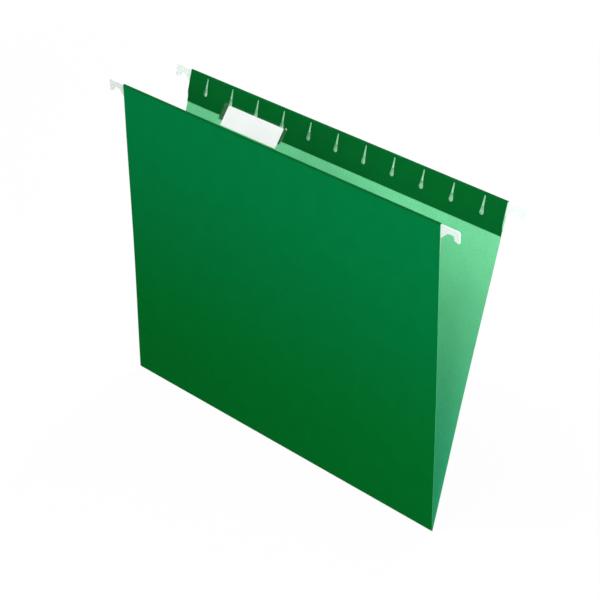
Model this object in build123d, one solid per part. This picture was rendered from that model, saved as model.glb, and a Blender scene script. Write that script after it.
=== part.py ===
from build123d import *
from math import sqrt
import os

# Card sheet: one piece, folded to a V along the bottom crease
sheet_width = 298.45
panel_height = 235.0
sheet_thickness = 0.3
opening_angle = 16.2
crease_inner_radius = 0.2

# Rods: flat steel strips with a white coat over both hook ends
rod_height = 9.0
rod_thickness = 0.6
coat_thickness = 0.12
coat_reach = 3.0
rail_offset = 7.9
rod_top_clearance = 0.2
sleeve_clearance = 0.18

# Hook outline, sideways from the rail's centre line and down from the hook's top edge
mouth_inner = 7.4
seat_inner = 2.2
seat_outer = 3.4
seat_drop = 4.25
lip_outer = 3.1
lip_drop = 7.1
tip_outer = 6.1
tip_drop = 8.4
side_outer = 7.45
side_drop = 7.9
mouth_radius = 1.0
seat_inner_radius = 4.0
seat_outer_radius = 1.8
lip_radius = 0.3
tip_radius = 0.5
side_radius = 0.7
shoulder_radius = 1.4

# Keyhole slots in each flap
slot_count = 11
slot_end_margin = 18.2
slot_top_drop = 2.0
slot_tip_radius = 0.55
slot_neck_radius = 0.9
slot_bulb_radius = 1.8
slot_taper = 4.6

# Lower part of each flap: slant down to a glued hem
slot_margin = 0.8
hem_lead = 0.4
hem_slant = 4.6
hem_height = 3.3
hem_bend_radius = 1.0
glue_thickness = 0.1
glue_edge = 0.4

# Clear plastic tab, plugged into two slots of the front flap
tab_slot_number = 5
tab_end_margin = 3.3
tab_wall = 0.4
tab_lean = 37.0
tab_clearance = 0.2
tab_corner_radius = 1.5
tab_travel = 2.2
bend_drop = 0.5
pocket_floor = 0.5
pocket_roof = 0.7
foot_height = 6.0
leg_width = 6.4
leg_margin = 0.6
leg_radius = 1.5
prong_width = 1.0
prong_height = 2.6
prong_clearance = 0.35
prong_play = 0.5
barb_length = 2.4
barb_thickness = 0.4
barb_chamfer = 0.25

# White card insert in the tab's pocket
insert_height = 14.3
insert_thickness = 0.25
insert_clearance = 0.175
insert_left_gap = 3.9
insert_right_gap = 2.4

# Places that follow, for one side standing upright with the crease axis at the origin.
# The inside of the folder is towards +Y and the height above the crease is Z.
inner_face_y = -crease_inner_radius
outer_face_y = inner_face_y - sheet_thickness
axis_height = crease_inner_radius + sheet_thickness

coated_thickness = rod_thickness + 2 * coat_thickness
sleeve_gap = coated_thickness + 2 * sleeve_clearance
fold_radius = sleeve_gap / 2
fold_y = inner_face_y + fold_radius
fold_z = panel_height - sheet_thickness - fold_radius
fold_middle_radius = fold_radius + sheet_thickness / 2
flap_back_y = inner_face_y + sleeve_gap
flap_face_y = flap_back_y + sheet_thickness

fold_headroom = sqrt(fold_radius**2 - (coated_thickness / 2) ** 2)
hook_top_z = fold_z + fold_headroom - rod_top_clearance
hook_bottom_z = hook_top_z - rod_height - 2 * coat_thickness
rod_bottom_z = hook_bottom_z + coat_thickness
rail_x = sheet_width / 2 + rail_offset

prong_top_z = rod_bottom_z - prong_clearance
prong_bottom_z = prong_top_z - prong_height
slot_bottom_z = prong_bottom_z - tab_travel - prong_play
slot_bulb_z = slot_bottom_z + slot_bulb_radius
slot_neck_z = slot_bulb_z + slot_taper
slot_top_z = panel_height - slot_top_drop
slot_pitch = (sheet_width - 2 * slot_end_margin) / (slot_count - 1)

hem_bend_z = slot_bottom_z - slot_margin
flap_bottom_z = hem_bend_z + hem_lead
flap_height = fold_z - flap_bottom_z
hem_top_z = hem_bend_z - hem_slant
hem_bottom_z = hem_top_z - hem_height

tab_x = (tab_slot_number - (slot_count + 1) / 2) * slot_pitch
tab_width = 2 * (slot_pitch + tab_end_margin)
tab_foot_y = flap_face_y + tab_clearance
tab_bend_z = panel_height - bend_drop
leg_bottom_z = prong_bottom_z - leg_margin
insert_width = tab_width - insert_left_gap - insert_right_gap
pocket_gap = insert_thickness + 2 * insert_clearance
pocket_depth = pocket_gap + 2 * tab_wall
pocket_height = insert_height + 2 * insert_clearance
pocket_length = pocket_floor + pocket_height + pocket_roof


def along_crease(profile, length):
    """Extrude a Y-Z profile along the crease, centred on the folder's middle."""
    return extrude(Plane.YZ * profile, amount=length / 2, both=True)


def through_sheet(outline, start_y, thickness):
    """Extrude an X-Z outline inwards from the plane y = start_y."""
    return Pos(0, start_y, 0) * extrude(Plane.XZ * outline, amount=-thickness)


def panel():
    """Flat face of the sheet, from the crease to the foot of the top fold."""
    outline = Pos(0, fold_z / 2) * Rectangle(sheet_width, fold_z)
    return through_sheet(outline, outer_face_y, sheet_thickness)


def crease():
    """Strip of the sheet rolled round the crease axis, between the two panels."""
    half = opening_angle / 2
    middle_radius = crease_inner_radius + sheet_thickness / 2
    arc = CenterArc((0, axis_height), middle_radius, 180 + half, 180 - opening_angle)
    return along_crease(trace(arc, sheet_thickness), sheet_width)


def keyhole():
    """One slot: a narrow slit that widens downwards into a round end."""
    slit_top = Pos(0, slot_top_z - slot_tip_radius) * Circle(slot_tip_radius)
    neck = Pos(0, slot_neck_z) * Circle(slot_neck_radius)
    bulb = Pos(0, slot_bulb_z) * Circle(slot_bulb_radius)
    slit = make_hull(slit_top.edges() + neck.edges())
    drop = make_hull(neck.edges() + bulb.edges())
    return slit + drop


def top_fold():
    """Half-round fold of the sheet over the top of a rod."""
    arc = CenterArc((fold_y, fold_z), fold_middle_radius, 0, 180)
    return along_crease(trace(arc, sheet_thickness), sheet_width)


def flap():
    """Flat inner wall of a rod's sleeve, with its row of slots."""
    outline = Pos(0, flap_bottom_z + flap_height / 2) * Rectangle(sheet_width, flap_height)
    slots = GridLocations(slot_pitch, 0, slot_count, 1) * keyhole()
    return through_sheet(outline - slots, flap_back_y, sheet_thickness)


def hem():
    """Slant that closes the sleeve below the slots, and the strip glued to the panel."""
    wall_y = flap_back_y + sheet_thickness / 2
    hem_y = inner_face_y + glue_thickness + sheet_thickness / 2
    path = FilletPolyline(
        (wall_y, flap_bottom_z),
        (wall_y, hem_bend_z),
        (hem_y, hem_top_z),
        (hem_y, hem_bottom_z),
        radius=hem_bend_radius,
    )
    return along_crease(trace(path, sheet_thickness), sheet_width)


def hem_glue():
    """Glue line between the hem and the panel, set in a little from the hem's edges."""
    height = hem_height - 2 * glue_edge
    outline = Pos(0, hem_bottom_z + hem_height / 2) * Rectangle(sheet_width, height)
    return through_sheet(outline, inner_face_y, glue_thickness)


def hook_corners():
    """Corner points of the coated right-hand end, from the mouth round to the shoulder."""
    sizes = [
        (-mouth_inner, hook_top_z - hook_bottom_z, mouth_radius),
        (-seat_inner, seat_drop, seat_inner_radius),
        (seat_outer, seat_drop, seat_outer_radius),
        (lip_outer, lip_drop, lip_radius),
        (tip_outer, tip_drop, tip_radius),
        (side_outer, side_drop, side_radius),
        (side_outer, 0, shoulder_radius),
    ]
    points = [(rail_x + out, hook_top_z - down) for out, down, radius in sizes]
    radii = [radius for out, down, radius in sizes]
    return points, radii


def coated_outline():
    """Outline of a whole rod at the coat's surface: a strip notched for a rail at each end."""
    points, radii = hook_corners()
    mirrored = [(-x, z) for x, z in reversed(points)]
    edge = FilletPolyline(points + mirrored, radius=radii + radii[::-1], close=True)
    return make_face(edge)


def rod():
    """Steel strip, one coat thickness inside the coated outline."""
    start_y = fold_y - rod_thickness / 2
    return through_sheet(offset(coated_outline(), -coat_thickness), start_y, rod_thickness)


def hook(side):
    """Coat over one rod end, side +1 for +X, open where the strip enters it."""
    coat_start_x = sheet_width / 2 - coat_reach
    coat_length = rail_x + side_outer - coat_start_x
    middle_x = side * (coat_start_x + coat_length / 2)
    end = Pos(middle_x, hook_bottom_z) * Rectangle(
        coat_length, hook_top_z - hook_bottom_z, align=(Align.CENTER, Align.MIN)
    )
    start_y = fold_y - coated_thickness / 2
    return through_sheet(coated_outline() & end, start_y, coated_thickness) - rod()


def label_plane():
    """Front face of the leaning pocket: X along the folder, Y up the label, Z out of it."""
    lean = Plane.XZ.rotated((-tab_lean, 0, 0))
    return Plane((tab_x, tab_foot_y, tab_bend_z), x_dir=lean.x_dir, z_dir=lean.z_dir)


def pocket():
    """Leaning label pocket, open at both ends."""
    corners = [(-tab_width / 2, 0), (-tab_width / 2, pocket_length)]
    corners += [(tab_width / 2, pocket_length), (tab_width / 2, 0)]
    radii = [0, tab_corner_radius, tab_corner_radius, 0]
    outline = make_face(FilletPolyline(corners, radius=radii, close=True))
    block = extrude(label_plane() * outline, amount=-pocket_depth)
    hollow = Pos(0, pocket_floor + pocket_height / 2) * Rectangle(tab_width, pocket_height)
    hollow = extrude(label_plane() * Pos(0, 0, -tab_wall) * hollow, amount=-pocket_gap)
    return block - hollow


def foot():
    """Flat foot against the flap, with a rounded leg at each end."""
    half = tab_width / 2
    foot_bottom_z = tab_bend_z - foot_height
    right = [
        (half, tab_bend_z, 0),
        (half, leg_bottom_z, leg_radius),
        (half - leg_width, leg_bottom_z, leg_radius),
        (half - leg_width, foot_bottom_z, leg_radius),
    ]
    points = [(x, z) for x, z, radius in right] + [(-x, z) for x, z, radius in reversed(right)]
    radii = [radius for x, z, radius in right]
    outline = make_face(FilletPolyline(points, radius=radii + radii[::-1], close=True))
    return Pos(tab_x, 0, 0) * through_sheet(outline, tab_foot_y, tab_wall)


def prong(side):
    """Neck through a slot with a barb behind the flap, pointing out to side +1 or -1."""
    barb_y = flap_back_y - tab_clearance - barb_thickness
    corners = [
        (-prong_width / 2, tab_foot_y),
        (-prong_width / 2, barb_y),
        (prong_width / 2 + barb_length - barb_chamfer, barb_y),
        (prong_width / 2 + barb_length, barb_y + barb_chamfer),
        (prong_width / 2 + barb_length, barb_y + barb_thickness),
        (prong_width / 2, barb_y + barb_thickness),
        (prong_width / 2, tab_foot_y),
    ]
    profile = make_face(Polyline([(side * x, y) for x, y in corners], close=True))
    prong_x = tab_x + side * slot_pitch
    return Pos(prong_x, 0, prong_bottom_z) * extrude(profile, amount=prong_height, dir=(0, 0, 1))


def tab():
    """Clear tab in one moulding: pocket, foot and two prongs."""
    return pocket() + foot() + prong(-1) + prong(1)


def insert():
    """White card label standing on the pocket's floor."""
    middle_x = (insert_left_gap - insert_right_gap) / 2
    middle_up = pocket_floor + pocket_height / 2
    card = Pos(middle_x, middle_up) * Rectangle(insert_width, insert_height)
    depth = tab_wall + insert_clearance
    return extrude(label_plane() * Pos(0, 0, -depth) * card, amount=-insert_thickness)


# Both sides lean outwards from the crease, and the back is the front turned half a turn
front = Pos(0, 0, axis_height) * Rot(opening_angle / 2, 0, 0)
back = Rot(0, 0, 180) * front

nodes = {"bottom_crease": crease(), "label_tab": front * tab(), "label_insert": front * insert()}
for name, stand, left in (("front", front, -1), ("back", back, 1)):
    nodes[f"{name}_panel"] = stand * panel()
    nodes[f"{name}_top_fold"] = stand * top_fold()
    nodes[f"{name}_flap"] = stand * flap()
    nodes[f"{name}_hem"] = stand * hem()
    nodes[f"{name}_hem_glue"] = stand * hem_glue()
    nodes[f"{name}_rod"] = stand * rod()
    nodes[f"{name}_left_hook"] = stand * hook(left)
    nodes[f"{name}_right_hook"] = stand * hook(-left)

os.makedirs("parts", exist_ok=True)
for name, shape in nodes.items():
    export_step(shape, f"parts/{name}.step")
    print(name, round(shape.volume, 2), "mm3")
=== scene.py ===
# %% [markdown]
# # A hanging file folder
# One sheet of two-tone card is folded to a V. A flat steel rod runs through each folded top edge, white
# dipped hooks stand out at the rod ends, and a clear tab with a card label is plugged into two slots of
# the front flap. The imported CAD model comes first, as a fixed frame in metres with +Z up. Rigid pieces
# keep their CAD shape or a softened copy of it, and the card is modelled again as the single folded sheet
# that it really is.

# %% Load the frame
from math import atan2, cos, pi, radians, sin

import bmesh
import bpy
from mathutils import Euler, Matrix, Vector


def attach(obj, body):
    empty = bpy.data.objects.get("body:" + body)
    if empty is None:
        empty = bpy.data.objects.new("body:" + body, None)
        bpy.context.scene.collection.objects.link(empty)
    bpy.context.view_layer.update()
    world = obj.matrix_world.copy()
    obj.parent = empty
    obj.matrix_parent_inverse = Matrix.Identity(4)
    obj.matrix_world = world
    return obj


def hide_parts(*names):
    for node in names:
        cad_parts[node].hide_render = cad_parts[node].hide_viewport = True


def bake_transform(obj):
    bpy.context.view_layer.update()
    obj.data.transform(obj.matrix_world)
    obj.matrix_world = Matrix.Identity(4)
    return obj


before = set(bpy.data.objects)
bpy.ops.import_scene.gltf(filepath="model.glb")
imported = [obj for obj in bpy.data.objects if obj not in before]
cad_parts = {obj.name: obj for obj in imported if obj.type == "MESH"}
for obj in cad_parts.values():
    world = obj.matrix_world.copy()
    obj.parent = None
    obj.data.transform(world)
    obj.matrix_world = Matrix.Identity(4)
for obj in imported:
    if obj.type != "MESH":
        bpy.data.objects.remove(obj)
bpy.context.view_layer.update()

mm = 0.001

# %% [markdown]
# ## Camera
# The view looks down on the folder's right-hand front corner through a long lens. The place, turn and
# focal length were fitted to the corners of the two panels, which beats nudging a camera by eye. The lens
# isn't shifted, because other views of the same folder would keep the shift.

# %% Camera
camera_place = (0.8465, -0.9163, 0.6898)
camera_turn = (65.145, -5.098, 44.800)
camera = bpy.data.objects.new("camera", bpy.data.cameras.new("camera"))
camera.location = camera_place
camera.rotation_euler = Euler([radians(turn) for turn in camera_turn])
camera.data.sensor_width = 36
camera.data.lens = 118.41
bpy.context.scene.collection.objects.link(camera)
bpy.context.scene.camera = camera
bpy.context.scene.view_settings.view_transform = "Standard"
print("camera", camera_place, "lens", round(camera.data.lens, 2))

# %% [markdown]
# ## Node helpers
# Every finish below is a small network of shader nodes. Wiring each node by hand takes four or five
# lines, so one helper adds a node, sets its options, and fills each socket with a value or with a link
# from an earlier node. Short helpers on top of it make the kinds of node that come up most and hand on
# what they put out.


# %% Node helpers
def add(tree, kind, sockets, **options):
    """Add a node of this kind to a tree; each socket gets a plain value or another node's output."""
    made = tree.nodes.new(kind)
    for option, value in options.items():
        setattr(made, option, value)
    for socket, value in sockets.items():
        if isinstance(value, bpy.types.NodeSocket):
            tree.links.new(value, made.inputs[socket])
        else:
            made.inputs[socket].default_value = value
    return made


def maths(tree, operation, *values):
    """What a Math node with this operation makes of these values."""
    return add(tree, "ShaderNodeMath", dict(enumerate(values)), operation=operation).outputs[0]


def noise(tree, place, scale, detail, roughness):
    """A smooth random value from 0 to 1 at this place."""
    sockets = {"Vector": place, "Scale": scale, "Detail": detail, "Roughness": roughness}
    return add(tree, "ShaderNodeTexNoise", sockets).outputs[0]


def remap(tree, value, old, new=(0, 1), kind="LINEAR"):
    """A value carried over from an old range to a new one, and held at its ends."""
    sockets = {0: value, 1: old[0], 2: old[1], 3: new[0], 4: new[1]}
    return add(tree, "ShaderNodeMapRange", sockets, interpolation_type=kind).outputs[0]


# %% [markdown]
# A Mix node has a separate set of sockets for each type of data. Several share a name, so they are found
# by number: 2 and 3 are the two values, 6 and 7 the two colours, and the mixed colour comes out at 2.


# %% Mixing helpers
def mix_values(tree, share, first, second):
    """Two values mixed, with this share of the second."""
    return add(tree, "ShaderNodeMix", {0: share, 2: first, 3: second}).outputs[0]


def mix_colours(tree, share, first, second, kind="MIX"):
    """Two colours mixed, with this share of the second."""
    sockets = {0: share, 6: first, 7: second}
    return add(tree, "ShaderNodeMix", sockets, data_type="RGBA", blend_type=kind).outputs[2]


# %% [markdown]
# Each material starts empty, and in the end one shader goes to its surface. Patterns follow the place on
# the piece and not the place in the room, so that they stay put when the piece moves.


# %% Material helpers
def new_material(name):
    """An empty material and its node tree."""
    material = bpy.data.materials.new(name)
    material.use_nodes = True
    material.node_tree.nodes.clear()
    return material, material.node_tree


def object_place(tree):
    """The place on the piece itself."""
    return add(tree, "ShaderNodeTexCoord", {}).outputs["Object"]


def surface(tree, shader):
    """Send a shader to the material's surface."""
    add(tree, "ShaderNodeOutputMaterial", {"Surface": shader.outputs[0]})


# %% [markdown]
# ## White room
# The folder stands on its crease on a white sweep in a white room. A real sweep would need far more light
# than the folder to reach pure white, and that light would fill the shade between the two panels. Here
# the floor and the room tell apart what is looking at them: the eye, mirrors and clear plastic see white,
# and the folder gets only a weak light from them.


# %% What is looking
def seen_directly(tree):
    """1 for rays from the camera, a mirror or clear plastic, and 0 for the light that falls on things."""
    rays = tree.nodes.new("ShaderNodeLightPath").outputs
    mirrored = maths(tree, "MAXIMUM", rays["Is Camera Ray"], rays["Is Glossy Ray"])
    sharp = maths(tree, "MAXIMUM", mirrored, rays["Is Transmission Ray"])
    never_scattered = maths(tree, "LESS_THAN", rays["Diffuse Depth"], 0.5)
    return maths(tree, "MULTIPLY", sharp, never_scattered)


# %% [markdown]
# ## White floor
# Most of the floor is plain white to the eye. Near the folder a small share of it is ordinary matt white,
# which takes the folder's shadow. Further out that share goes to nothing, because there it would show as
# a grey horizon. For light that bounces off it the floor is a dull grey.

# %% White floor
floor_half = 4
plain_white = (1, 1, 1, 1)
matt_white = (0.95, 0.95, 0.95, 1)
bounced_grey = (0.16, 0.16, 0.16, 1)
shadow_reach = (0.3, 1.1)
plain_share = (0.93, 1)
white_floor, tree = new_material("white_floor")
seen = seen_directly(tree)
matt = add(tree, "ShaderNodeBsdfDiffuse", {"Color": mix_colours(tree, seen, bounced_grey, matt_white)})
glow = add(tree, "ShaderNodeEmission", {"Color": plain_white, "Strength": 1})
away = add(tree, "ShaderNodeVectorMath", {0: object_place(tree)}, operation="LENGTH").outputs["Value"]
share = maths(tree, "MULTIPLY", seen, remap(tree, away, shadow_reach, plain_share))
surface(tree, add(tree, "ShaderNodeMixShader", {0: share, 1: matt.outputs[0], 2: glow.outputs[0]}))

bm = bmesh.new()
bmesh.ops.create_grid(bm, x_segments=1, y_segments=1, size=floor_half)
floor = bpy.data.objects.new("floor", bpy.data.meshes.new("floor"))
bm.to_mesh(floor.data)
bm.free()
floor.data.materials.append(white_floor)
bpy.context.scene.collection.objects.link(floor)
print("floor", floor.dimensions[0], "m wide")

# %% [markdown]
# ## White world
# The room behind the floor works the same way: the eye sees plain white, while things only get a weak,
# even light from it. The lamps do the rest, and that keeps the shading of the folds.

# %% White world
world_light = 0.13
world = bpy.data.worlds.new("white_room")
world.use_nodes = True
tree = world.node_tree
tree.nodes.clear()
lit = add(tree, "ShaderNodeBackground", {"Color": plain_white, "Strength": world_light})
bright = add(tree, "ShaderNodeBackground", {"Color": plain_white, "Strength": 1})
room = {0: seen_directly(tree), 1: lit.outputs[0], 2: bright.outputs[0]}
add(tree, "ShaderNodeOutputWorld", {"Surface": add(tree, "ShaderNodeMixShader", room).outputs[0]})
bpy.context.scene.world = world
print("world light", world_light)

# %% [markdown]
# ## Lamps
# Four soft boxes. The main one is wide and stands close, in front and above, so the front face is
# brightest along its top and falls off towards the crease. One far out and low on the right looks in
# between the panels. One at the upper left lights the strip of mint below the back flap, and one behind
# does for the back what the main one does for the front.


# %% Lamps
def soft_box(name, place, aim, size, power):
    """A square area lamp at a place, turned to face a point on the folder."""
    lamp = bpy.data.objects.new(name, bpy.data.lights.new(name, "AREA"))
    lamp.data.size = size
    lamp.data.energy = power
    lamp.location = place
    lamp.rotation_euler = (Vector(aim) - Vector(place)).to_track_quat("-Z", "Y").to_euler()
    bpy.context.scene.collection.objects.link(lamp)
    return lamp


lamps = [
    soft_box("main_box", place=(0.05, -0.82, 0.74), aim=(0, 0, 0.2), size=0.9, power=4.35),
    soft_box("right_box", place=(1.2, -0.35, 0.38), aim=(0.1, 0, 0.15), size=0.55, power=16.8),
    soft_box("left_box", place=(-0.4, -0.4, 0.85), aim=(0, 0, 0.2), size=0.6, power=4.0),
    soft_box("back_box", place=(-0.3, 0.9, 0.65), aim=(0, 0, 0.2), size=0.5, power=8.2),
]
print("lamps", [(lamp.name, round(lamp.data.energy, 2)) for lamp in lamps])

# %% [markdown]
# ## Paper fibre
# Card is pressed from fibres that lie mostly along the roll. Seen close up, that gives short faint
# streaks, a cloudy unevenness a finger wide, a few paler flecks, and a slightly rough skin. An image of
# paper would do it too, but three noise textures, two of them stretched, give the same without a file and
# at any scale. Card and label both use it, so it is a node group.


# %% Paper fibre group
def new_group(name, inputs, outputs):
    """An empty shader node group with named sockets, and what comes in at its inputs."""
    group = bpy.data.node_groups.new(name, "ShaderNodeTree")
    for socket, kind in inputs.items():
        group.interface.new_socket(socket, in_out="INPUT", socket_type=kind)
    for socket, kind in outputs.items():
        group.interface.new_socket(socket, in_out="OUTPUT", socket_type=kind)
    return group, group.nodes.new("NodeGroupInput").outputs


a_place = "NodeSocketVector"
a_value = "NodeSocketFloat"
stretch_along_roll = (0.22, 1, 1)
paper_fibre, given = new_group(
    "paper_fibre", {"Place": a_place}, {"Tone": a_value, "Fleck": a_value, "Height": a_value}
)
roll = {"Vector": given["Place"], "Scale": stretch_along_roll}
along_roll = add(paper_fibre, "ShaderNodeMapping", roll).outputs[0]
streaks = noise(paper_fibre, along_roll, scale=2600, detail=4, roughness=0.65)
clouds = noise(paper_fibre, given["Place"], scale=70, detail=3, roughness=0.55)
slivers = noise(paper_fibre, along_roll, scale=1500, detail=2, roughness=0.5)
tone = remap(paper_fibre, mix_values(paper_fibre, 0.2, streaks, clouds), (0.36, 0.64))
fleck = remap(paper_fibre, slivers, (0.66, 0.74))
height = maths(paper_fibre, "ADD", streaks, fleck)
add(paper_fibre, "NodeGroupOutput", {"Tone": tone, "Fleck": fleck, "Height": height})
print("group", paper_fibre.name, len(paper_fibre.nodes), "nodes")

# %% [markdown]
# ## Rubbed folds
# The bottom crease and the two top folds are what a hand and the next folder touch, so the dye is rubbed
# thin there. The mask could follow the height above the floor, but then it would slide when the folder
# opens. It follows the flat card instead: every point of the sheet keeps its place on the unfolded blank
# in an attribute named flat, with the crease along its X axis.


# %% Rubbed fold group
def from_crease(tree, flat):
    """How far a place on the flat card lies from the crease."""
    return maths(tree, "ABSOLUTE", add(tree, "ShaderNodeSeparateXYZ", {0: flat}).outputs["Y"])


top_fold_line = 235.78 * mm
rubbed_fold, given = new_group("rubbed_fold", {"Flat": a_place, "Width": a_value}, {"Mask": a_value})
crease_gap = from_crease(rubbed_fold, given["Flat"])
top_gap = maths(rubbed_fold, "ABSOLUTE", maths(rubbed_fold, "SUBTRACT", crease_gap, top_fold_line))
fold_gap = maths(rubbed_fold, "MINIMUM", crease_gap, top_gap)
close = remap(rubbed_fold, fold_gap, (given["Width"], 0), kind="SMOOTHSTEP")
patches = noise(rubbed_fold, given["Flat"], scale=160, detail=5, roughness=0.7)
mask = maths(rubbed_fold, "MULTIPLY", close, remap(rubbed_fold, patches, (0.42, 0.66)))
add(rubbed_fold, "NodeGroupOutput", {"Mask": mask})
print("group", rubbed_fold.name, len(rubbed_fold.nodes), "nodes")

# %% [markdown]
# ## Zones of the sheet
# The colour isn't the same all over, and these steps are painted light. Each panel gets darker towards the
# crease, inside and out, which is painted shade. On the outside the top folds, flaps and hems are darker
# still, which is painted shade too, and inside the sleeves the mint is painted paler, which is painted
# light in their shade. Vertex paint would need a denser mesh, so a small group turns the distance from the
# crease, again on the flat card, into a soft step.

# %% Zone group
sheet_zone, given = new_group(
    "sheet_zone", {"Flat": a_place, "From": a_value, "To": a_value}, {"Mask": a_value}
)
crease_gap = from_crease(sheet_zone, given["Flat"])
mask = remap(sheet_zone, crease_gap, (given["From"], given["To"]), kind="SMOOTHSTEP")
add(sheet_zone, "NodeGroupOutput", {"Mask": mask})
print("group", sheet_zone.name, len(sheet_zone.nodes), "nodes")

# %% [markdown]
# ## Card finishes
# The card is dyed dark green on the outside and pale mint on the inside, so the two faces of one sheet
# need two finishes, and its cut edge shows the paler core between them. On the outside, where the folds
# turn it inwards, the top folds and slotted flaps are painted darker, which is painted shade. All three
# are matt: a strong sheen would wash the dark dye out.

# %% Card finish
painted_shade_ramp = (24 * mm, 212 * mm)
sleeve_step = 1 * mm
rub_width = 1.6 * mm
fleck_gain = 0.22


def card_finish(name, low, high, sleeve, sleeve_line, rubbed, rub_share):
    """Matt card: a colour at the crease and one at the top with painted shade between them, one past the
    sleeve line that is painted shade outside and painted light inside, and paler where rubbed.
    """
    material, tree = new_material(name)
    flat = add(tree, "ShaderNodeAttribute", {}, attribute_name="flat").outputs["Vector"]

    def zone(start, end):
        """0 before the start line and 1 after the end line."""
        sockets = {"Flat": flat, "From": start, "To": end}
        return add(tree, "ShaderNodeGroup", sockets, node_tree=sheet_zone).outputs["Mask"]

    fibre = add(tree, "ShaderNodeGroup", {"Place": flat}, node_tree=paper_fibre).outputs
    rub = add(tree, "ShaderNodeGroup", {"Flat": flat, "Width": rub_width}, node_tree=rubbed_fold)
    # Painted shade: the colour goes darker from the top towards the crease.
    dye_and_painted_light = mix_colours(tree, zone(*painted_shade_ramp), low, high)
    # Past the sleeve line: painted shade on the outside and cut edge, painted light in the sleeves inside.
    dye_and_painted_light = mix_colours(tree, zone(sleeve_line, sleeve_line + sleeve_step), dye_and_painted_light, sleeve)
    shade = remap(tree, fibre["Tone"], (0, 1), (0.86, 1.12))
    shade = maths(tree, "MULTIPLY_ADD", fibre["Fleck"], fleck_gain, shade)
    dye_and_painted_light = mix_colours(tree, 1, dye_and_painted_light, shade, kind="MULTIPLY")
    dye_and_painted_light = mix_colours(tree, maths(tree, "MULTIPLY", rub.outputs["Mask"], rub_share), dye_and_painted_light, rubbed)
    rough = remap(tree, fibre["Tone"], (0, 1), (0.72, 0.86))
    skin = add(tree, "ShaderNodeBump", {"Strength": 0.5, "Distance": 0.06 * mm, "Height": fibre["Height"]})
    look = {"Base Color": dye_and_painted_light, "Roughness": rough, "Specular IOR Level": 0.015, "Normal": skin.outputs[0]}
    surface(tree, add(tree, "ShaderNodeBsdfPrincipled", look))
    return material


# %% Three card finishes
# Outside: low to high is painted shade, darker towards the crease; sleeve is painted shade on the top
# folds, flaps and hems.
card_outside = card_finish(
    "card_outside",
    low=(0.0004, 0.176, 0.022, 1),
    high=(0.0004, 0.217, 0.055, 1),
    sleeve=(0.0011, 0.118, 0.020, 1),
    sleeve_line=234 * mm,
    rubbed=(0.02, 0.30, 0.10, 1),
    rub_share=0.1,
)
# Inside: low to high is painted shade, darker towards the crease; sleeve is painted light, a paler mint in
# the shaded sleeves.
card_inside = card_finish(
    "card_inside",
    low=(0.050, 0.515, 0.253, 1),
    high=(0.190, 0.70, 0.36, 1),
    sleeve=(0.62, 0.96, 0.74, 1),
    sleeve_line=213 * mm,
    rubbed=(0.30, 0.78, 0.48, 1),
    rub_share=0.2,
)
# Cut edge: low to high is painted shade, darker towards the crease; sleeve is painted shade on the top
# folds, flaps and hems.
card_edge = card_finish(
    "card_edge",
    low=(0.055, 0.37, 0.15, 1),
    high=(0.09, 0.46, 0.22, 1),
    sleeve=(0.037, 0.28, 0.12, 1),
    sleeve_line=234 * mm,
    rubbed=(0.2, 0.6, 0.35, 1),
    rub_share=0.1,
)
print("card finishes", card_outside.name, card_inside.name, card_edge.name)

# %% [markdown]
# ## The blank
# The real folder starts as a flat blank: one long sheet, die-cut with a row of keyhole slots near each
# end. The same order works well here. The half from the middle of the crease to the hem is a grid whose
# lines are placed where the card will bend: `runs` lists each stretch with its length along the middle of
# the card, how far it turns, and its rows. Short rows beside the bends keep the shading of the flat
# stretches flat.

# %% Runs of the half blank
sheet_width = 298.45 * mm
card_thickness = 0.3 * mm
lean = radians(8.1)
crease_radius = 0.35 * mm
crease_turn = pi / 2 - lean
panel_length = 234.10 * mm
fold_radius = 0.75 * mm
flap_length = 15.224 * mm
hem_radius = 1.0 * mm
hem_turn = atan2(1.1, 4.6)
hold = 0.4 * mm
runs = [
    ("crease", crease_radius * crease_turn, crease_turn, 5),
    ("panel foot", hold, 0, 1),
    ("panel", panel_length - 2 * hold, 0, 30),
    ("panel head", hold, 0, 1),
    ("top fold", fold_radius * pi, pi, 14),
    ("flap head", hold, 0, 1),
    ("slots", flap_length - 2 * hold, 0, 1),
    ("flap foot", hold, 0, 1),
    ("first bend", hem_radius * hem_turn, hem_turn, 3),
    ("slant", 4.494 * mm, 0, 1),
    ("second bend", hem_radius * hem_turn, -hem_turn, 3),
    ("hem", 3.182 * mm, 0, 1),
]
starts = {}
lines = [0.0]
for name, length, turn, steps in runs:
    starts[name] = lines[-1]
    lines += [starts[name] + length * (step + 1) / steps for step in range(steps)]
print("half blank", round(lines[-1] / mm, 2), "mm long in", len(lines) - 1, "rows")

# %% [markdown]
# ## Keyhole slots
# Each slot is a slit that widens downwards to a round end, so that a tab's barb goes in low and is held
# when it is pushed up. A boolean cut through the finished card would work, but it leaves ragged faces.
# Here one outline is drawn with a few points and its corners are rounded by a bevel. On the blank a slot
# points away from the hem, so its round end has the larger Y.

# %% Keyhole outline
bulb_line = starts["flap head"] + 12.742 * mm
waist_line = bulb_line - 4.75 * mm
tip_line = starts["flap head"] + 1.10 * mm
bulb_half = 1.8 * mm
waist_half = 0.89 * mm
tip_half = 0.55 * mm


def round_corners(bm, corners, radius, segments):
    """Round these corners of a flat outline."""
    bmesh.ops.bevel(
        bm, geom=corners, offset=radius, affect="VERTICES", segments=segments, profile=0.5, material=-1
    )


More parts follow.
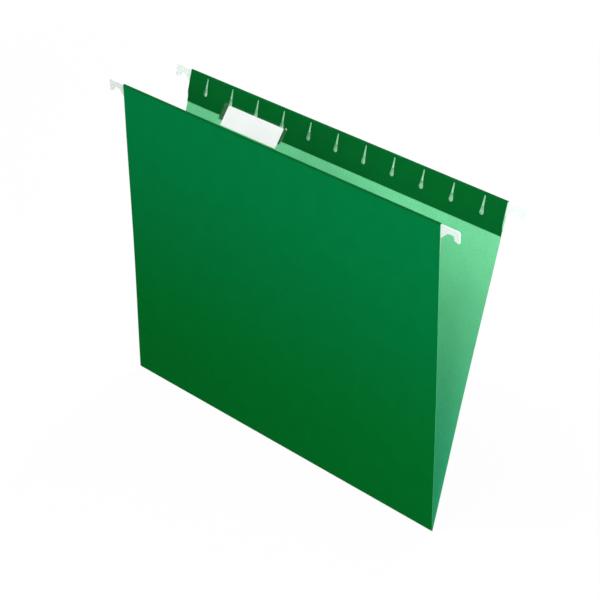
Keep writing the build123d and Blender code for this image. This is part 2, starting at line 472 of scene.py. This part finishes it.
bm = bmesh.new()
flat_layer = bm.verts.layers.float_vector.new("flat")
right = [
    (bulb_half, bulb_line + bulb_half),
    (bulb_half, bulb_line - 0.18 * mm),
    (waist_half, waist_line),
    (tip_half, tip_line),
]
outline = right + [(-x, y) for x, y in reversed(right)]
slot = bm.faces.new([bm.verts.new((x, y, 0)) for x, y in outline])
bulb_corners = [v for v in slot.verts if v.co.y > bulb_line + 1 * mm]
round_corners(bm, bulb_corners, radius=1.78 * mm, segments=8)
tip_corners = [v for v in bm.verts if v.co.y < tip_line + 0.01 * mm]
round_corners(bm, tip_corners, radius=0.53 * mm, segments=4)
waist_corners = [v for v in bm.verts if tip_line + 1 * mm < v.co.y < bulb_line - 1 * mm]
round_corners(bm, waist_corners, radius=1.0 * mm, segments=3)
bmesh.ops.delete(bm, geom=bm.faces[:], context="FACES_ONLY")
print("slot outline", len(bm.verts), "points")

# %% [markdown]
# The other slots are copies of the first, a pitch apart and centred on the sheet. Only outlines are
# copied: they become holes when the strip round them is filled.

# %% Row of slots
slot_count = 11
slot_pitch = 26.205 * mm
one_slot = bm.verts[:] + bm.edges[:]
for number in range(1, slot_count):
    copy = bmesh.ops.duplicate(bm, geom=one_slot)["geom"]
    moved = [v for v in copy if isinstance(v, bmesh.types.BMVert)]
    bmesh.ops.translate(bm, verts=moved, vec=(number * slot_pitch, 0, 0))
bmesh.ops.translate(bm, verts=bm.verts, vec=(-(slot_count - 1) / 2 * slot_pitch, 0, 0))
print("slots", slot_count, "over", round((slot_count - 1) * slot_pitch / mm, 1), "mm")

# %% [markdown]
# ## Filling the strip round the slots
# The grid is laid out line by line, the row that holds the slots is opened, and a triangle fill closes it
# again between its border and the slot outlines. The strip is flat, so the triangles never show.

# %% Half blank
columns = 40
rows = len(lines) - 1
slot_edges = bm.edges[:]
grid = bmesh.ops.create_grid(bm, x_segments=columns, y_segments=rows, size=1)["verts"]
for v in grid:
    row = round((v.co.y + 1) / 2 * rows)
    v.co = (v.co.x * sheet_width / 2, lines[row], 0)
strip_low = starts["slots"]
strip_high = starts["flap foot"]
strip = [f for f in bm.faces if strip_low < f.calc_center_median().y < strip_high]
border = {e for f in strip for e in f.edges if sum(g in strip for g in e.link_faces) == 1}
bmesh.ops.delete(bm, geom=strip, context="FACES_KEEP_BOUNDARY")
bmesh.ops.triangle_fill(bm, use_beauty=True, edges=slot_edges + [e for e in border if e.is_valid])
for v in bm.verts:
    v[flat_layer] = v.co
print("half blank", len(bm.verts), "points,", len(bm.faces), "faces")

# %% [markdown]
# ## Folding it up
# Folding is done as a walk: from the middle of the crease a step along the card follows each run,
# straight or on its arc, and gives the place and the heading there. Every point of the blank is moved to
# where the walk takes it. The panel also bows inwards by a hair, as card does between a stiff rod and a
# crease.

# %% Fold
bow_height = 0.9 * mm
bow_end = 208 * mm
nearly_straight = 1e-9


def walk(distance):
    """Place (y, z) and heading after going this far from the crease's middle line up the front half."""
    y, z, heading = 0.0, card_thickness / 2, pi
    for name, length, turn, steps in runs:
        step = min(distance, length)
        bend = turn * step / length
        reach = step if abs(bend) < nearly_straight else 2 * length / turn * sin(bend / 2)
        y += reach * cos(heading - bend / 2)
        z += reach * sin(heading - bend / 2)
        heading -= bend
        distance -= step
        if distance <= 0:
            break
    return y, z, heading


def bow(x, distance):
    """How far the panel bows inwards here: most in the middle, a fifth less at the side edges."""
    share = min(max(distance / bow_end, 0), 1)
    across = 0.8 + 0.2 * cos(pi * x / sheet_width)
    return bow_height * across * sin(pi * share) ** 2


for v in bm.verts:
    y, z, heading = walk(v.co.y)
    inwards = bow(v.co.x, v.co.y)
    v.co = (v.co.x, y - inwards * cos(heading + pi / 2), z - inwards * sin(heading + pi / 2))
print("front half", round(max(v.co.z for v in bm.verts) / mm, 1), "mm tall")

# %% [markdown]
# ## The other half
# The back half is the front half turned half a turn about the upright axis, and the two are welded along
# the crease. Its place on the flat card runs the other way, so the two halves share one flat blank. The
# faces are then turned so that the dark side points outwards.

# %% Both halves
weld = 0.005 * mm
front_middle = Vector((0, -0.015, 0.12))
half = bm.verts[:] + bm.edges[:] + bm.faces[:]
back = [v for v in bmesh.ops.duplicate(bm, geom=half)["geom"] if isinstance(v, bmesh.types.BMVert)]
bmesh.ops.rotate(bm, verts=back, cent=(0, 0, 0), matrix=Matrix.Rotation(pi, 3, "Z"))
for v in back:
    v[flat_layer] = (-v[flat_layer][0], -v[flat_layer][1], 0)
bmesh.ops.remove_doubles(bm, verts=bm.verts, dist=weld)
bmesh.ops.recalc_face_normals(bm, faces=bm.faces)
front_face = min(bm.faces, key=lambda f: (f.calc_center_median() - front_middle).length)
if front_face.normal.y > 0:
    bmesh.ops.reverse_faces(bm, faces=bm.faces)
print("folded card", len(bm.faces), "faces, front faces", tuple(round(v, 2) for v in front_face.normal))

# %% [markdown]
# ## Thickness and the two faces
# A Solidify modifier gives the sheet its thickness. Its material offsets do the two-tone card in one go:
# the original faces keep the dark outside, the new inner shell takes the mint, and the rim round the edges
# and slots takes the core. It is applied at once.


# %% Card sheet
def piece_from(bm, name, materials):
    """A finished object at the origin, with its materials."""
    piece = bpy.data.objects.new(name, bpy.data.meshes.new(name))
    bm.to_mesh(piece.data)
    bm.free()
    for material in materials:
        piece.data.materials.append(material)
    bpy.context.scene.collection.objects.link(piece)
    return piece


def settle(piece, angle):
    """Apply the piece's modifiers, and shade it smooth except at edges sharper than this angle."""
    finished = piece.evaluated_get(bpy.context.evaluated_depsgraph_get())
    piece.data = bpy.data.meshes.new_from_object(finished)
    piece.modifiers.clear()
    piece.data.shade_smooth()
    piece.data.set_sharp_from_angle(angle=radians(angle))


card_sheet = piece_from(bm, "card_sheet", [card_outside, card_inside, card_edge])
thick = card_sheet.modifiers.new("thickness", "SOLIDIFY")
thick.thickness = card_thickness
thick.offset = 0
thick.material_offset = 1
thick.material_offset_rim = 2
settle(card_sheet, angle=35)
sheet_size = [round(v / mm, 1) for v in card_sheet.dimensions]
print("card sheet", len(card_sheet.data.polygons), "faces", sheet_size, "mm")

# %% [markdown]
# ## Evened flaps
# Below the slots each flap slants back to its hem by about a millimetre. Real card rolls over so gently
# there that the flap reads as one plain strip, but a slant in a mesh catches the light as a band. More
# rows would only soften the band's edges, so the shading is evened instead: from the flap's foot to the
# hem the corners of both shells take the flap's own normal. A normal of no length leaves the others as
# they are.

# %% Evened flaps
outer_shell, inner_shell = 0, 1
rolled_from = starts["flap foot"]
rolled_to = starts["hem"] + 0.01 * mm
flats = [item.vector.y for item in card_sheet.data.attributes["flat"].data]
normals = [Vector() for loop in card_sheet.data.loops]
for face in card_sheet.data.polygons:
    if face.material_index not in (outer_shell, inner_shell):
        continue
    outwards = 1 if face.material_index == outer_shell else -1
    for corner in face.loop_indices:
        along = flats[card_sheet.data.loops[corner].vertex_index]
        if rolled_from < abs(along) < rolled_to:
            facing = 1 if along >= 0 else -1
            normals[corner] = outwards * Vector((0, facing * cos(lean), sin(lean)))
card_sheet.data.normals_split_custom_set(normals)
print("evened corners", sum(n.length > 0 for n in normals))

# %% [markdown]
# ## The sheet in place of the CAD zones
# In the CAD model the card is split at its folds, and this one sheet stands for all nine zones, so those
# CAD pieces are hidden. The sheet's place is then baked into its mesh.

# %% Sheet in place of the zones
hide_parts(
    "bottom_crease",
    *[f"{side}_{zone}" for side in ("front", "back") for zone in ("panel", "top_fold", "flap", "hem")],
)
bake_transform(card_sheet)

# %% [markdown]
# ## Softened edges
# Nothing moulded, dipped or rolled has a knife edge, and the thin highlight along a rounded edge is what
# makes a small part look real. The hooks, rods and tab keep their CAD shape: a copy of the mesh is
# merged, its flat faces are joined up, the sharp edges are bevelled, and points where two bevels meet are
# merged. Building them again from nothing would only risk a misfit. A last modifier lets the large flat
# faces set the normals, so that they stay flat beside the narrow bevels.

# %% Softened copies
merge_gap = 0.001 * mm
flat_angle = radians(0.5)
sharp_angle = radians(40)


def softened(node, radius, material, body):
    """A merged copy of a CAD node with its sharp edges rounded, riding on the node's body in its place."""
    bm = bmesh.new()
    bm.from_mesh(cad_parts[node].data)
    bmesh.ops.remove_doubles(bm, verts=bm.verts, dist=merge_gap)
    bmesh.ops.dissolve_limit(bm, angle_limit=flat_angle, verts=bm.verts, edges=bm.edges)
    sharp = [e for e in bm.edges if e.is_manifold and e.calc_face_angle_signed() > sharp_angle]
    bmesh.ops.bevel(
        bm,
        geom=sharp,
        offset=radius,
        affect="EDGES",
        segments=3,
        profile=0.5,
        material=-1,
        clamp_overlap=True,
    )
    bmesh.ops.remove_doubles(bm, verts=bm.verts, dist=merge_gap)
    piece = piece_from(bm, node + "_soft", [material])
    settle(piece, angle=50)
    piece.modifiers.new("flat_faces", "WEIGHTED_NORMAL").keep_sharp = True
    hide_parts(node)
    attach(piece, body)
    print(piece.name, len(piece.data.polygons), "faces")


# %% [markdown]
# ## Hooks
# The rod ends are dipped in white plastic so that they glide on the rails. The dip is smooth but never
# quite even, which shows as a faint orange-peel in the highlight. Its white is tinted mint, which is a
# painted reflection of the mint card round it.

# %% Dipped hooks
# Painted reflection: both whites carry a mint tint from the card round the hooks; fresh and stained are
# real grime.
fresh_dip_mint_reflection = (0.87, 0.97, 0.91, 1)
stained_dip_mint_reflection = (0.83, 0.93, 0.87, 1)
hook_edge = 0.22 * mm
white_dip, tree = new_material("white_dip")
place = object_place(tree)
ripple = noise(tree, place, scale=900, detail=2, roughness=0.4)
grime = noise(tree, place, scale=260, detail=5, roughness=0.65)
dip_and_mint_reflection = mix_colours(tree, remap(tree, grime, (0.35, 0.75)), fresh_dip_mint_reflection, stained_dip_mint_reflection)
gloss = remap(tree, grime, (0, 1), (0.28, 0.45))
peel = add(tree, "ShaderNodeBump", {"Strength": 0.12, "Distance": 0.05 * mm, "Height": ripple})
look = {"Base Color": dip_and_mint_reflection, "Roughness": gloss, "Normal": peel.outputs[0]}
surface(tree, add(tree, "ShaderNodeBsdfPrincipled", look))
for side in ("front", "back"):
    for end in ("left", "right"):
        softened(f"{side}_{end}_hook", hook_edge, white_dip, f"{side}_rod")

# %% [markdown]
# ## Rods
# The strips are rolled steel under a thin pale lacquer, which is why the slots look light. Its touch of
# mint is a painted reflection of the mint sleeve round the rod. Rolling leaves fine lines along the strip
# that still show through the lacquer, so the noise is stretched a hundredfold that way. Where the lacquer
# is scratched off, the bare steel shows grey.

# %% Lacquered rods
# Painted reflection: both lacquers carry a mint tint from the sleeve round the rod.
thin_lacquer_mint_reflection = (0.62, 0.97, 0.75, 1)
full_lacquer_mint_reflection = (0.70, 0.99, 0.81, 1)
bare_steel = (0.42, 0.43, 0.44, 1)
stretch_along_strip = (0.01, 1, 1)
rod_edge = 0.12 * mm
rod_lacquer, tree = new_material("rod_lacquer")
place = object_place(tree)
rolled = add(tree, "ShaderNodeMapping", {"Vector": place, "Scale": stretch_along_strip}).outputs[0]
fine_lines = noise(tree, rolled, scale=5000, detail=4, roughness=0.6)
spots = noise(tree, place, scale=220, detail=5, roughness=0.7)
tone = mix_values(tree, 0.4, fine_lines, spots)
scratched = remap(tree, tone, (0.63, 0.67))
lacquer_and_mint_reflection = mix_colours(tree, scratched, mix_colours(tree, tone, thin_lacquer_mint_reflection, full_lacquer_mint_reflection), bare_steel)
rough = remap(tree, tone, (0.3, 0.7), (0.30, 0.5))
look = {"Base Color": lacquer_and_mint_reflection, "Metallic": scratched, "Roughness": rough}
surface(tree, add(tree, "ShaderNodeBsdfPrincipled", look))
for side in ("front", "back"):
    softened(f"{side}_rod", rod_edge, rod_lacquer, f"{side}_rod")

# %% [markdown]
# ## Clear tab
# The tab is one clear moulding. It is real glass-like plastic here, not a see-through trick: light bends
# in it, and its rounded edges catch the white room. Its index is set well under that of solid plastic,
# because in an all-white room four strong reflections, one from each face of the two walls, would veil
# the label. Handling leaves fine scuffs, which only roughen it a little.

# %% Clear tab
faint_tint = (0.97, 0.99, 0.98, 1)
low_index = 1.18
tab_edge = 0.09 * mm
clear_plastic, tree = new_material("clear_plastic")
scuffs = noise(tree, object_place(tree), scale=420, detail=6, roughness=0.7)
haze = remap(tree, scuffs, (0.5, 0.8), (0.005, 0.07))
look = {"Base Color": faint_tint, "Roughness": haze, "IOR": low_index, "Transmission Weight": 1}
surface(tree, add(tree, "ShaderNodeBsdfPrincipled", look))
softened("label_tab", tab_edge, clear_plastic, "tab")

# %% [markdown]
# ## Label and glue
# The label is smooth white card and the glue is a dried film under each hem. Both are plain slabs, so
# their CAD solids stay and only get a finish: the same paper fibre for the label, and a cloudy amber for
# the glue.

# %% Label
dull_label = (0.94, 0.95, 0.94, 1)
clean_label = (0.98, 0.985, 0.98, 1)
label_card, tree = new_material("label_card")
fibre = add(tree, "ShaderNodeGroup", {"Place": object_place(tree)}, node_tree=paper_fibre).outputs
white = mix_colours(tree, fibre["Tone"], dull_label, clean_label)
skin = add(tree, "ShaderNodeBump", {"Strength": 0.15, "Distance": 0.03 * mm, "Height": fibre["Height"]})
look = {"Base Color": white, "Roughness": 0.8, "Specular IOR Level": 0.2, "Normal": skin.outputs[0]}
surface(tree, add(tree, "ShaderNodeBsdfPrincipled", look))
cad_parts["label_insert"].material_slots[0].material = label_card
print("label_insert", label_card.name)

# %% Glue
dark_amber = (0.62, 0.55, 0.36, 1)
pale_amber = (0.80, 0.76, 0.60, 1)
dried_glue, tree = new_material("dried_glue")
cloud = noise(tree, object_place(tree), scale=300, detail=4, roughness=0.5)
amber = mix_colours(tree, cloud, dark_amber, pale_amber)
surface(tree, add(tree, "ShaderNodeBsdfPrincipled", {"Base Color": amber, "Roughness": 0.4}))
for node in ("front_hem_glue", "back_hem_glue"):
    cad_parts[node].material_slots[0].material = dried_glue
    print(node, dried_glue.name)
